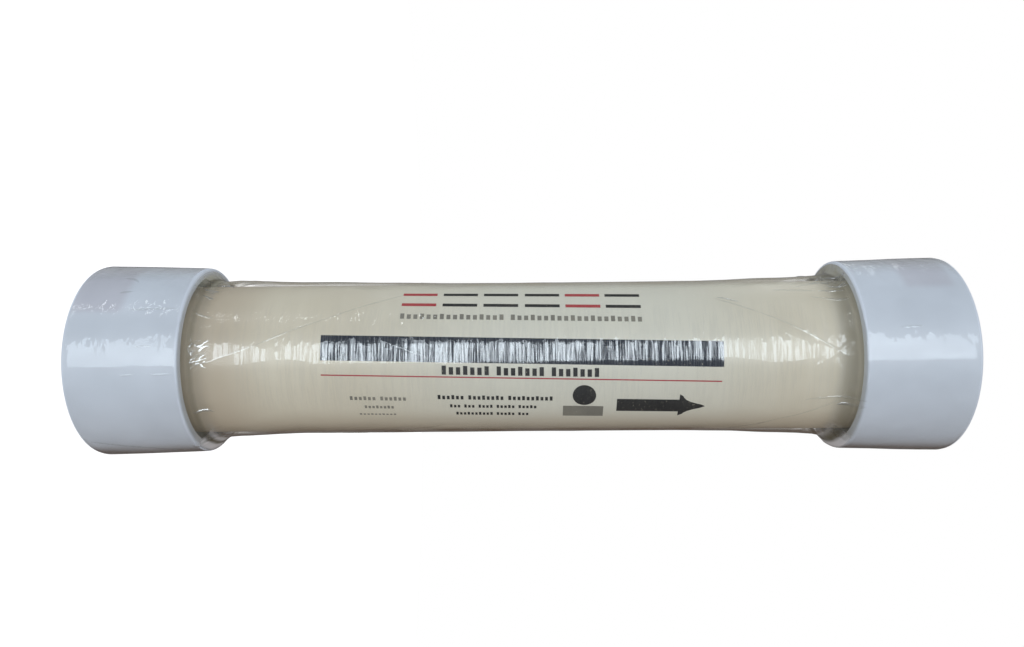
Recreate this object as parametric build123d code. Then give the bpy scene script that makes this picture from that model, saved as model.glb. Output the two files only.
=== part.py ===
"""Spiral-wound reverse osmosis membrane element, 4 in across and 21 in long, packed for transport.

The element stands on its feed end: +Z runs along the permeate tube, the way the feed water flows.
The origin is the middle of the feed end cap's outer face. All sizes are in millimetres.

From the inside out: a perforated permeate tube, four membrane leaves and four feed spacers wound
round it, a spoked end disc on each end of the roll, a fibreglass shell over both discs, a brine
seal on the feed disc, a closed cap over each end and one sleeve of clear stretch film over all.
"""

import os
from math import cos, radians, sin

from build123d import *

# Element: the standard sizes of a 4 in by 21 in element
TUBE_LENGTH = 533.4            # overall length, tip to tip of the permeate tube
TUBE_STUB = 26.7               # how far each tip stands out of its end disc
TUBE_OD = 19.05
TUBE_WALL = 2.5
SHELL_OD = 98.6
SHELL_WALL = 2.1
CLEARANCE = 0.3                # radial gap between round pieces that sit in or on one another

# Permeate tube: cross holes that let the water in
TUBE_HOLE_D = 4.0
TUBE_HOLE_STATIONS = 2
TUBE_HOLE_MARGIN = 120.0       # from each end of the roll to its nearest hole

# Roll: leaves and spacers lie in turn on one another, each strip a spiral of short chords
LEAF_COUNT = 4
STRIP_TURNS = 2.5
CHORDS_PER_STEP = 4            # chords from one leaf's start to the next, so that all lie parallel
LEAF_SHARE = 0.5               # share of the leaf pitch taken by the leaf, the rest is the spacer

# End disc: a hub, spokes and a rim with the seal groove
DISC_DEPTH = 32.0
DISC_LIP_DEPTH = 3.0
DISC_RIM_WALL = 3.4
SPOKE_COUNT = 8
SPOKE_WIDTH = 3.2
SPOKE_DEPTH = 12.0
HUB_WALL = 4.5
HUB_DEPTH = 24.0
SEAL_GROOVE_WIDTH = 12.0       # between the disc's lip and the end of the shell

# Brine seal: a rubber cup ring that opens towards the feed
SEAL_LIP_REACH = 2.9           # how far the lip stands out past the shell
SEAL_LIP_WALL = 1.4
SEAL_HEEL = 3.5

# End caps: closed cups with the mouth's outer edge taken off
CAP_LENGTH = 70.0
CAP_MOUTH_GAP = 6.6            # between the shell and the cap's bore
CAP_WALL = 7.3
CAP_FLOOR = 5.0
CAP_MOUTH_BEVEL = 4.0
CAP_TIP_GAP = 5.3              # between the permeate tube's tip and the cap's floor
CAP_RIB_COUNT = 6
CAP_RIB_WIDTH = 3.0
CAP_RIB_LEDGE = 8.3            # how far the ribs reach in under the disc's rim
CAP_RIB_GRIP = 4.0             # how far they reach along the shell

# Stretch film: one sleeve drawn down from the caps onto the shell, in flats as pulled film lies
FILM_THICKNESS = 0.4
FILM_SIDES = 40
FILM_END_SETBACK = 2.0         # from each outer face to the edge of the film
FILM_DRAW = 12.0               # length of the steep stretch beside a cap's mouth
FILM_TENT = 58.0               # length of the shallow stretch that follows it
FILM_TENT_RISE = 2.0           # how far the shallow stretch starts off the shell

# Worked out from the sizes above
TUBE_R = TUBE_OD / 2
SHELL_R = SHELL_OD / 2
SHELL_BORE_R = SHELL_R - SHELL_WALL
FLANGE_R = SHELL_BORE_R - CLEARANCE
CAP_BORE_R = SHELL_R + CAP_MOUTH_GAP
CAP_R = CAP_BORE_R + CAP_WALL
TUBE_START = CAP_FLOOR + CAP_TIP_GAP
OVERALL = TUBE_LENGTH + 2 * TUBE_START
DISC_FACE = TUBE_START + TUBE_STUB
SHELL_START = DISC_FACE + DISC_LIP_DEPTH + SEAL_GROOVE_WIDTH
SHELL_LENGTH = OVERALL - 2 * SHELL_START
ROLL_START = DISC_FACE + DISC_DEPTH
ROLL_LENGTH = OVERALL - 2 * ROLL_START
ROLL_INNER_R = TUBE_R + CLEARANCE
ROLL_OUTER_R = SHELL_BORE_R - CLEARANCE
CHORDS_PER_TURN = CHORDS_PER_STEP * LEAF_COUNT
LEAF_PITCH = (ROLL_OUTER_R - ROLL_INNER_R) / (STRIP_TURNS * LEAF_COUNT + 1)
LEAF_THICKNESS = LEAF_PITCH * LEAF_SHARE - CLEARANCE
SPACER_THICKNESS = LEAF_PITCH * (1 - LEAF_SHARE) - CLEARANCE
SEAL_LIP_R = SHELL_R + SEAL_LIP_REACH


def turned(points):
    """Turn a closed outline of (radius, height) points about the Z axis."""
    outline = Plane.XZ * make_face(Polyline(*points, close=True))
    return revolve(outline, Axis.Z)


def tube_of(outer_r, inner_r, start, length):
    """Plain round tube along Z."""
    ring = Circle(outer_r) - Circle(inner_r)
    return Pos(0, 0, start) * extrude(ring, length)


def at_far_end(piece):
    """Turn a piece of the feed end over to the brine end."""
    return Pos(0, 0, OVERALL) * Rot(180, 0, 0) * piece


def permeate_tube():
    """Centre tube with cross holes, drilled along X and Y in turn."""
    tube = tube_of(TUBE_R, TUBE_R - TUBE_WALL, TUBE_START, TUBE_LENGTH)
    span = ROLL_LENGTH - 2 * TUBE_HOLE_MARGIN
    for station in range(TUBE_HOLE_STATIONS):
        height = ROLL_START + TUBE_HOLE_MARGIN + span * station / (TUBE_HOLE_STATIONS - 1)
        drill = Rot(90, 0, 90 * (station % 2)) * Cylinder(TUBE_HOLE_D / 2, TUBE_OD + 2)
        tube -= Pos(0, 0, height) * drill
    return tube


def spiral_points(offset):
    """Points of one spiral, which moves out by all the leaves' pitches in a turn."""
    chords = round(STRIP_TURNS * CHORDS_PER_TURN)
    points = []
    for index in range(chords + 1):
        turn = index / CHORDS_PER_TURN
        angle = radians(360 * turn)
        radius = ROLL_INNER_R + LEAF_PITCH * LEAF_COUNT * turn + offset
        points.append((radius * cos(angle), radius * sin(angle)))
    return points


def wound_strip(index, offset, thickness):
    """One strip of the roll, between two like spirals, turned round to its own start."""
    outline = spiral_points(offset) + spiral_points(offset + thickness)[::-1]
    section = make_face(Polyline(*outline, close=True))
    strip = extrude(section, ROLL_LENGTH)
    return Pos(0, 0, ROLL_START) * Rot(0, 0, 360 * index / LEAF_COUNT) * strip


def membrane_leaf(index):
    """Glued envelope of membrane and permeate carrier, open towards the tube."""
    return wound_strip(index, 0, LEAF_THICKNESS)


def feed_spacer(index):
    """Feed channel net that lies on the leaf of the same number."""
    return wound_strip(index, LEAF_THICKNESS + CLEARANCE, SPACER_THICKNESS)


def end_disc():
    """Spoked disc that keeps the roll from telescoping; its flange goes inside the shell."""
    lip_r = SHELL_R
    inner_r = FLANGE_R - DISC_RIM_WALL
    hub_r = TUBE_R + CLEARANCE + HUB_WALL
    rim = turned([
        (inner_r, 0),
        (lip_r, 0),
        (lip_r, DISC_LIP_DEPTH),
        (FLANGE_R, DISC_LIP_DEPTH),
        (FLANGE_R, DISC_DEPTH),
        (inner_r, DISC_DEPTH),
    ])
    disc = rim + Pos(0, 0, DISC_DEPTH - HUB_DEPTH) * extrude(Circle(hub_r), HUB_DEPTH)
    reach = inner_r + DISC_RIM_WALL / 2
    for index in range(SPOKE_COUNT):
        spoke = Pos(reach / 2, 0, DISC_DEPTH - SPOKE_DEPTH / 2) * Box(reach, SPOKE_WIDTH, SPOKE_DEPTH)
        disc += Rot(0, 0, 360 * index / SPOKE_COUNT) * spoke
    disc -= extrude(Circle(TUBE_R + CLEARANCE), DISC_DEPTH)
    return Pos(0, 0, DISC_FACE) * disc


def brine_seal():
    """Cup ring in the feed disc's groove, its lip standing out past the shell."""
    inner_r = FLANGE_R + CLEARANCE
    mouth = DISC_LIP_DEPTH + CLEARANCE
    back = DISC_LIP_DEPTH + SEAL_GROOVE_WIDTH - CLEARANCE
    ring = turned([
        (inner_r, back - SEAL_HEEL),
        (SEAL_LIP_R - SEAL_LIP_WALL, back - SEAL_HEEL),
        (SEAL_LIP_R - SEAL_LIP_WALL, mouth),
        (SEAL_LIP_R, mouth),
        (SEAL_LIP_R, back),
        (inner_r, back),
    ])
    return Pos(0, 0, DISC_FACE) * ring


def frp_shell():
    """Wound fibreglass shell over the roll and both discs' flanges."""
    return tube_of(SHELL_R, SHELL_BORE_R, SHELL_START, SHELL_LENGTH)


def end_cap(grip_r):
    """Closed cup; its ribs carry the end disc on a ledge and hold it sideways at grip_r."""
    cap = turned([
        (0, 0),
        (CAP_R, 0),
        (CAP_R, CAP_LENGTH - CAP_MOUTH_BEVEL),
        (CAP_R - CAP_MOUTH_BEVEL, CAP_LENGTH),
        (CAP_BORE_R, CAP_LENGTH),
        (CAP_BORE_R, CAP_FLOOR),
        (0, CAP_FLOOR),
    ])
    rib_start = CAP_FLOOR / 2
    rib_inner_r = SHELL_R - CAP_RIB_LEDGE
    rib_length = CAP_BORE_R + CAP_WALL / 4 - rib_inner_r
    rib_height = SHELL_START + CAP_RIB_GRIP - rib_start
    rib = Box(rib_length, CAP_RIB_WIDTH, rib_height, align=(Align.MIN, Align.CENTER, Align.MIN))
    rib = Pos(rib_inner_r, 0, rib_start) * rib
    rib -= Pos(0, 0, DISC_FACE) * extrude(Circle(grip_r), CAP_LENGTH)
    for index in range(CAP_RIB_COUNT):
        cap += Rot(0, 0, 360 * (index + 0.5) / CAP_RIB_COUNT) * rib
    return cap


def lofted(points):
    """Many-sided solid through (radius, height) points, with flat faces from each to the next."""
    sections = [Pos(0, 0, height) * RegularPolygon(radius, FILM_SIDES) for radius, height in points]
    return loft(sections, ruled=True)


def stretch_film():
    """Sleeve that covers the caps, draws down at their mouths and hugs the shell."""
    cap_r = CAP_R + CLEARANCE + FILM_THICKNESS
    shell_r = SHELL_R + CLEARANCE + FILM_THICKNESS
    draw_end = CAP_LENGTH + FILM_DRAW
    outside = [
        (cap_r, FILM_END_SETBACK),
        (cap_r, CAP_LENGTH - CAP_MOUTH_BEVEL),
        (shell_r + FILM_TENT_RISE, draw_end),
        (shell_r, draw_end + FILM_TENT),
    ]
    outside += [(radius, OVERALL - height) for radius, height in reversed(outside)]
    inside = [(radius - FILM_THICKNESS, height) for radius, height in outside]
    return lofted(outside) - lofted(inside)


def all_nodes():
    """Every separate piece by the name of its node."""
    feed_cap = end_cap(SEAL_LIP_R + CLEARANCE)
    brine_cap = end_cap(SHELL_R + CLEARANCE)
    nodes = {
        "feed_end_cap": feed_cap,
        "brine_end_cap": at_far_end(brine_cap),
        "stretch_film": stretch_film(),
        "frp_shell": frp_shell(),
        "feed_end_disc": end_disc(),
        "brine_end_disc": at_far_end(end_disc()),
        "brine_seal": brine_seal(),
        "permeate_tube": permeate_tube(),
    }
    for index in range(LEAF_COUNT):
        nodes[f"membrane_leaf_{index + 1}"] = membrane_leaf(index)
        nodes[f"feed_spacer_{index + 1}"] = feed_spacer(index)
    return nodes


os.makedirs("parts", exist_ok=True)
for name, solid in all_nodes().items():
    export_step(solid, f"parts/{name}.step")
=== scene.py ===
"""Looks for a packed reverse osmosis membrane element, built round the frame from CAD.

The element stands on its feed end, with +Z along the permeate tube. The camera is rolled by a quarter
turn, so the picture shows it lying on its side: picture right is +Z and picture up is -X.
All lengths are in metres unless a name ends in _mm. Angles round the element are measured from the
side that faces the camera (-Y), and grow towards picture up (-X).
"""

import logging
import math
import random
from collections.abc import Sequence
from dataclasses import dataclass, field, replace
from enum import Enum

import bpy
import numpy as np
from mathutils import Matrix, Vector


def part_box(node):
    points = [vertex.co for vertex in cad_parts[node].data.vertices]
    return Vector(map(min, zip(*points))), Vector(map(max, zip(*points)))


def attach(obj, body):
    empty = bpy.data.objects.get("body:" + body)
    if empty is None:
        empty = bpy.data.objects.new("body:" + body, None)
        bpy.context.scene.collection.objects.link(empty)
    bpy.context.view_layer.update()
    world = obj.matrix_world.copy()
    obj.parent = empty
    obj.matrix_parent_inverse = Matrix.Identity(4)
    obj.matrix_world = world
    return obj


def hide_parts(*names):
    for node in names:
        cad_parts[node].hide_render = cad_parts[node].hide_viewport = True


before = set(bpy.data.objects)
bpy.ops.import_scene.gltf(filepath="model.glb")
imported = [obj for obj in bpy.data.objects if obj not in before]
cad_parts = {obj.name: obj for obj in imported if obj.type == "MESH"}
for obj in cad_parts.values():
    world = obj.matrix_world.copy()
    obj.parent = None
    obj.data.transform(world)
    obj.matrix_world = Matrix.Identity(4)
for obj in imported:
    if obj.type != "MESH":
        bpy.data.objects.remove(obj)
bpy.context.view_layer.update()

LOG = logging.getLogger("membrane_element")

MM = 0.001

Colour = tuple[float, float, float]
Point = tuple[float, float]
Socket = bpy.types.NodeSocket
Feed = float | tuple | Socket


class End(Enum):
    """The two ends of the element, by the water that passes them."""

    FEED = "feed"
    BRINE = "brine"


class Slot(Enum):
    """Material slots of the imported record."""

    CAP = "cap_plastic"
    FILM = "clear_film"
    SHELL = "fibreglass"


class LampUse(Enum):
    """What a lamp does for the element: light it, or show in its gloss."""

    LIGHT = "light"
    GLOSS = "gloss"


# Node work shared by all finishes.


class NodeSheet:
    """The node tree of a material or world, with short ways to add and join its nodes."""

    def __init__(self, owner: bpy.types.Material | bpy.types.World) -> None:
        """Starts an empty node tree.

        Args:
            owner: The material or world that the nodes are for.
        """
        self.owner = owner
        owner.use_nodes = True
        self.tree = owner.node_tree
        self.tree.nodes.clear()

    @classmethod
    def named(cls, name: str) -> "NodeSheet":
        """Returns the sheet of a new material."""
        return cls(bpy.data.materials.new(name))

    def feed(self, socket: Socket, value: Feed) -> None:
        """Joins a socket to an input, or sets the input's own value.

        Args:
            socket: The input to fill.
            value: An output socket, a number or a colour.
        """
        if isinstance(value, bpy.types.NodeSocket):
            self.tree.links.new(value, socket)
        elif isinstance(value, tuple) and socket.type == "RGBA":
            socket.default_value = (*value[:3], 1.0)
        else:
            socket.default_value = value

    def add(self, kind: str, inputs: dict | None = None, **settings: object) -> bpy.types.Node:
        """Adds a node.

        Args:
            kind: Blender's name of the node type.
            inputs: Values or sockets by input name or number.
            **settings: Properties of the node itself.

        Returns:
            The new node.
        """
        node = self.tree.nodes.new(kind)
        for key, value in settings.items():
            setattr(node, key, value)
        for key, value in (inputs or {}).items():
            self.feed(node.inputs[key], value)
        return node

    def place(self) -> Socket:
        """Returns the point on the piece, in the row frame."""
        return self.add("ShaderNodeTexCoord").outputs["Object"]

    def turn_of(self, place: Socket) -> Socket:
        """Works out a point's angle round the element.

        Args:
            place: The point.

        Returns:
            The angle in degrees, 0 at -Y and growing towards -X.
        """
        x, y, _ = self.parts(place)
        ahead = self.maths("MULTIPLY", y, -1.0)
        aside = self.maths("MULTIPLY", x, -1.0)
        return self.times(self.maths("ARCTAN2", aside, ahead), 180 / math.pi)

    def painted(self, name: str) -> Socket:
        """Returns a value that the mesh carries at its points."""
        return self.add("ShaderNodeAttribute", attribute_name=name).outputs["Fac"]

    def facing(self, normal: Socket | None = None) -> Socket:
        """Returns how far the surface turns from the eye, from 0 face on to 1 at its outline."""
        inputs = {"Blend": 0.5, **({"Normal": normal} if normal else {})}
        return self.add("ShaderNodeLayerWeight", inputs).outputs["Facing"]

    def mixed(self, share: Feed, first: Socket, second: Socket) -> Socket:
        """Returns a shader between first, at share 0, and second, at share 1."""
        return self.add("ShaderNodeMixShader", {0: share, 1: first, 2: second}).outputs[0]

    def parts(self, vector: Socket) -> tuple[Socket, Socket, Socket]:
        """Returns a vector's three parts."""
        split = self.add("ShaderNodeSeparateXYZ", {0: vector})
        return split.outputs[0], split.outputs[1], split.outputs[2]

    def scaled(self, vector: Socket, by: tuple[float, float, float]) -> Socket:
        """Multiplies a vector part by part.

        Args:
            vector: The vector.
            by: What its parts are multiplied by.

        Returns:
            The new vector's socket.
        """
        node = self.add("ShaderNodeVectorMath", operation="MULTIPLY")
        self.feed(node.inputs[0], vector)
        node.inputs[1].default_value = by
        return node.outputs[0]

    def maths(self, operation: str, first: Feed, second: Feed = 0.0, clamp: bool = False) -> Socket:
        """Adds one step of arithmetic.

        Args:
            operation: Blender's name of the operation.
            first: Left value.
            second: Right value.
            clamp: Whether the result is held between 0 and 1.

        Returns:
            The result's socket.
        """
        node = self.add("ShaderNodeMath", {0: first, 1: second}, operation=operation, use_clamp=clamp)
        return node.outputs[0]

    def through(self, operation: str, values: Sequence[Feed]) -> Socket:
        """Carries one operation through several values.

        Args:
            operation: Blender's name of the operation.
            values: The values, in order.

        Returns:
            The result's socket.
        """
        out = values[0]
        for value in values[1:]:
            out = self.maths(operation, out, value)
        return out

    def times(self, *values: Feed) -> Socket:
        """Returns the product of several values."""
        return self.through("MULTIPLY", values)

    def plus(self, *values: Feed) -> Socket:
        """Returns the sum of several values."""
        return self.through("ADD", values)

    def most(self, *values: Feed) -> Socket:
        """Returns the largest of several values."""
        return self.through("MAXIMUM", values)

    def noise(self, where: Socket, per_metre: Feed, detail: float, rough: float = 0.5) -> Socket:
        """Adds a cloudy pattern.

        Args:
            where: The point it is read at.
            per_metre: Features per unit of that point.
            detail: Number of finer layers.
            rough: Strength of the finer layers.

        Returns:
            A value round 0.5.
        """
        inputs = {"Vector": where, "Scale": per_metre, "Detail": detail, "Roughness": rough}
        return self.add("ShaderNodeTexNoise", inputs).outputs[0]

    def grain(
        self, place: Socket, per_metre: tuple[float, float, float], detail: float, rough: float = 0.5,
    ) -> Socket:
        """Adds a cloudy pattern with its own pace along each axis.

        Args:
            place: The point on the piece.
            per_metre: Features per metre along X, Y and Z.
            detail: Number of finer layers.
            rough: Strength of the finer layers.

        Returns:
            A value round 0.5.
        """
        return self.noise(self.scaled(place, per_metre), 1.0, detail, rough)

    def fade(self, value: Socket, start: float, end: float, low: Feed = 0.0, high: Feed = 1.0) -> Socket:
        """Turns a value smoothly from low at start to high at end.

        Args:
            value: What drives the change.
            start: Driving value at which the change begins.
            end: Driving value at which it is complete, below start for a fall.
            low: Result at start.
            high: Result at end.

        Returns:
            The changed value's socket.
        """
        flip = end < start
        first, last = (end, start) if flip else (start, end)
        at_first, at_last = (high, low) if flip else (low, high)
        inputs = {0: value, 1: first, 2: last, 3: at_first, 4: at_last}
        return self.add("ShaderNodeMapRange", inputs, interpolation_type="SMOOTHSTEP").outputs[0]

    def share_of(self, value: Socket, start: float, end: float) -> Socket:
        """Returns how far a value has come from start to end, from 0 to 1 in a straight line."""
        return self.add("ShaderNodeMapRange", {0: value, 1: start, 2: end}).outputs[0]

    def blend(self, share: Feed, first: Feed, second: Feed) -> Socket:
        """Mixes two colours.

        Args:
            share: Share of the second one.
            first: Colour at 0.
            second: Colour at 1.

        Returns:
            The mixed colour's socket.
        """
        node = self.add("ShaderNodeMix", data_type="RGBA")
        self.feed(node.inputs[0], share)
        self.feed(node.inputs[6], first)
        self.feed(node.inputs[7], second)
        return node.outputs[2]

    def between(self, share: Feed, first: Feed, second: Feed) -> Socket:
        """Mixes two numbers.

        Args:
            share: Share of the second one.
            first: Number at 0.
            second: Number at 1.

        Returns:
            The mixed number's socket.
        """
        node = self.add("ShaderNodeMix", data_type="FLOAT")
        for number, value in enumerate((share, first, second)):
            self.feed(node.inputs[(0, 2, 3)[number]], value)
        return node.outputs[0]

    def bump(self, height: Socket) -> Socket:
        """Returns the normal of a surface raised by height, in metres."""
        inputs = {"Height": height, "Distance": 1.0, "Strength": 1.0}
        return self.add("ShaderNodeBump", inputs).outputs[0]

    def pull_streaks(self, place: Socket, pace: float = 1.0) -> Socket:
        """Works out where the stretched film stands off what it covers.

        Args:
            place: The point on the piece.
            pace: How much closer together the streaks are than on bare resin.

        Returns:
            A value from 0, where the film clings, to 1, in thin streaks that run round the element.
        """
        fine = self.grain(place, (46.0, 46.0, 760.0 * pace), 3.0, 0.65)
        coarse = self.grain(place, (26.0, 26.0, 190.0 * pace), 2.0)
        patches = self.grain(place, (14.0, 14.0, 22.0), 2.0)
        lines = self.plus(self.times(fine, 0.62), self.times(coarse, 0.24), self.times(patches, 0.14))
        return self.fade(lines, 0.465, 0.55)

    def solid(self, inputs: dict) -> bpy.types.Material:
        """Ends the sheet in one Principled shader.

        Args:
            inputs: Its inputs by name.

        Returns:
            The finished material.
        """
        return self.ended(self.add("ShaderNodeBsdfPrincipled", inputs).outputs[0])

    def ended(self, shader: Socket) -> bpy.types.Material:
        """Joins a shader to the output and returns the finished material."""
        self.add("ShaderNodeOutputMaterial", {"Surface": shader})
        return self.owner


# Finishes.


@dataclass(frozen=True)
class MouldedPlastic:
    """Moulded plastic: a faint mottle, a fine grain and slightly uneven gloss."""

    name: str
    colour: Colour
    roughness: float = 0.42
    mottle: float = 0.05
    grain_mm: float = 0.7
    depth_mm: float = 0.006

    def material(self) -> bpy.types.Material:
        """Makes the finish.

        Returns:
            The finish as a material.
        """
        sheet = NodeSheet.named(self.name)
        place = sheet.place()
        cloud = sheet.noise(place, 16.0, 5.0, 0.6)
        deep = tuple(part * (1.0 - self.mottle) for part in self.colour)
        pale = tuple(min(1.0, part * (1.0 + self.mottle)) for part in self.colour)
        grain = sheet.noise(place, 1.0 / (self.grain_mm * MM), 2.0)
        flow = sheet.grain(place, (45.0, 45.0, 14.0), 3.0)
        relief = self.depth_mm * MM
        height = sheet.plus(sheet.times(grain, relief), sheet.times(flow, 4 * relief))
        return sheet.solid({
            "Base Color": sheet.blend(sheet.fade(cloud, 0.3, 0.7), deep, pale),
            "Roughness": sheet.fade(cloud, 0.3, 0.7, self.roughness - 0.06, self.roughness + 0.06),
            "Normal": sheet.bump(height),
        })


@dataclass(frozen=True)
class WoundFibreglass:
    """Cream resin over glass fibre wound at a steep angle both ways, paler in the middle as painted light,
    and darker near the feed cap and on the lower side as painted shade.

    Pairs of heights are in metres and pairs of turns in degrees: where a change begins and is complete.
    """

    name: str
    pale: Colour
    deep: Colour
    # A paler tone for the middle is painted light; the darker tone after it is painted shade near the feed
    # cap and on the lower side.
    lean: Colour
    painted_shade_tone: Colour
    roughness: float = 0.34
    strand_mm: float = 2.6
    crossings: float = 6.0
    depth_mm: float = 0.0035
    # Heights of the paler painted-light middle and of the painted shade near the feed cap, then turns of
    # the painted shade on the lower side.
    lit_middle_feed: Point = (0.14, 0.29)
    lit_middle_brine: Point = (0.47, 0.36)
    lit_middle_share: float = 0.8
    feed_shade_heights: Point = (0.128, 0.086)
    low_shade_turns: Point = (-36.0, -62.0)
    low_shade_back: Point = (-175.0, -110.0)
    low_shade_share: float = 0.72

    def material(self) -> bpy.types.Material:
        """Makes the finish.

        Returns:
            The finish as a material.
        """
        sheet = NodeSheet.named(self.name)
        place = sheet.place()
        x, y, z = sheet.parts(place)
        turn = sheet.maths("ARCTAN2", x, y)
        lay = 1.0 / (self.strand_mm * MM)
        one = sheet.maths("SINE", sheet.plus(sheet.times(z, lay), sheet.times(turn, self.crossings)))
        other = sheet.maths("SINE", sheet.plus(sheet.times(z, lay), sheet.times(turn, -self.crossings)))
        weave = sheet.most(one, other)
        cloud = sheet.grain(place, (14.0, 14.0, 7.0), 4.0, 0.55)
        bands = sheet.grain(place, (6.0, 6.0, 190.0), 3.0)
        tone = sheet.plus(sheet.times(cloud, 0.84), sheet.times(bands, 0.16))
        relief = self.depth_mm * MM
        height = sheet.plus(sheet.times(weave, relief), sheet.times(bands, 3 * relief))
        laid = sheet.blend(sheet.fade(tone, 0.36, 0.64), self.deep, self.pale)
        # Painted light and shade: paler towards the middle, darker near the feed cap and on the lower side.
        thin = sheet.times(sheet.fade(z, *self.lit_middle_feed), sheet.fade(z, *self.lit_middle_brine), self.lit_middle_share)
        where = sheet.turn_of(place)
        low_side = sheet.fade(where, *self.low_shade_turns, 0.0, self.low_shade_share)
        low_shade = sheet.times(low_side, sheet.fade(where, *self.low_shade_back))
        painted_shade = sheet.most(sheet.fade(z, *self.feed_shade_heights), low_shade)
        return sheet.solid({
            "Base Color": sheet.blend(painted_shade, sheet.blend(thin, laid, self.lean), self.painted_shade_tone),
            "Roughness": sheet.fade(bands, 0.3, 0.7, self.roughness - 0.05, self.roughness + 0.08),
            "Normal": sheet.bump(height),
        })


@dataclass(frozen=True)
class PrintedInk:
    """Screen printed ink: slightly uneven cover with pin holes along its strokes.

    Where shine isn't 0, the film over the ink shows its own gloss in streaks.
    """

    name: str
    colour: Colour
    ground: Colour
    cover: float = 0.95
    roughness: float = 0.5
    shine: float = 0.0
    film_colour: Colour = (0.93, 0.965, 1.0)
    film_roughness: float = 0.08
    film_ripple_mm: float = 0.12
    streak_pace: float = 1.45

    def material(self) -> bpy.types.Material:
        """Makes the finish.

        Returns:
            The finish as a material.
        """
        sheet = NodeSheet.named(self.name)
        place = sheet.place()
        drops = sheet.grain(place, (500.0, 500.0, 1100.0), 3.0, 0.6)
        cloud = sheet.noise(place, 60.0, 3.0)
        thin = sheet.fade(drops, 0.62, 0.78, 1.0 - self.cover, 1.0)
        share = sheet.times(thin, sheet.fade(cloud, 0.3, 0.7, 0.35, 1.0))
        body = sheet.add("ShaderNodeBsdfPrincipled", {
            "Base Color": sheet.blend(share, self.colour, self.ground),
            "Roughness": sheet.fade(cloud, 0.3, 0.7, self.roughness - 0.08, self.roughness + 0.08),
            "Specular IOR Level": 0.2,
            "Normal": sheet.bump(sheet.times(drops, 0.01 * MM)),
        })
        if not self.shine:
            return sheet.ended(body.outputs[0])
        ripple = sheet.grain(place, (120.0, 120.0, 380.0), 2.0)
        gloss = sheet.add("ShaderNodeBsdfAnisotropic", {
            "Color": self.film_colour,
            "Roughness": self.film_roughness,
            "Normal": sheet.bump(sheet.times(ripple, self.film_ripple_mm * MM)),
        })
        standing_off = sheet.times(sheet.pull_streaks(place, self.streak_pace), self.shine)
        return sheet.ended(sheet.mixed(standing_off, body.outputs[0], gloss.outputs[0]))


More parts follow.
